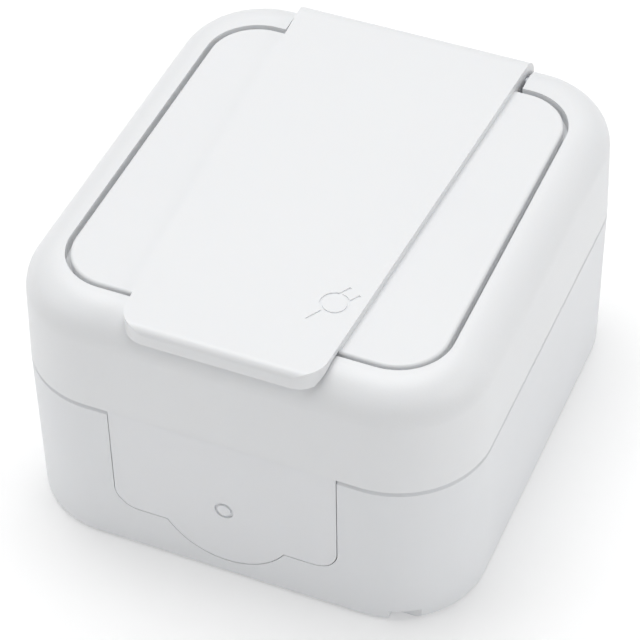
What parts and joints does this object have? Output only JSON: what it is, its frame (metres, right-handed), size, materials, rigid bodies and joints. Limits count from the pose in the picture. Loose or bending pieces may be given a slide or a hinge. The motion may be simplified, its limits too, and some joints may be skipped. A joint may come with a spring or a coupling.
{
  "type": "surface-mounted earthed socket with lid",
  "caption": "White surface-mounted earthed wall socket with a sprung splash lid, closed, lying on its back.",
  "frame": {"origin": "centre of the back face, where the two wall-fixing holes are centred", "axes": "+Z out of the wall, +Y towards the lid's hinge, +X to the right as seen from the front"},
  "size_m": [0.075, 0.0832, 0.0494],
  "materials": {
    "white_body": "smooth",
    "white_cover": "smooth",
    "carrier_white": "matt",
    "seal_rubber": "matt",
    "contact_brass": "satin",
    "plated_steel": "satin"
  },
  "bodies": {
    "housing": {"base": "white_body", "cable_entry": "white_body", "cover": "white_cover", "socket_well": "white_body", "contact_carrier": "carrier_white", "rim_seal": "seal_rubber", "live_contact": "contact_brass", "neutral_contact": "contact_brass", "earth_strap": "plated_steel", "earth_clamp": "plated_steel", "earth_screw": "plated_steel", "hinge_pin": "plated_steel", "lid_spring": "plated_steel", "cover_screws": "plated_steel", "carrier_screws": "plated_steel", "terminal_screws": "plated_steel", "centre_screw": "plated_steel"},
    "lid": {"lid": "white_cover", "lid_seal": "seal_rubber"}
  },
  "joints": [
    {"name": "lid_hinge", "type": "hinge", "parent": "housing", "child": "lid", "pos_m": [0, 0.0363, 0.046], "axis": [-1, 0, 0], "range_deg": [0, 110]}
  ]
}
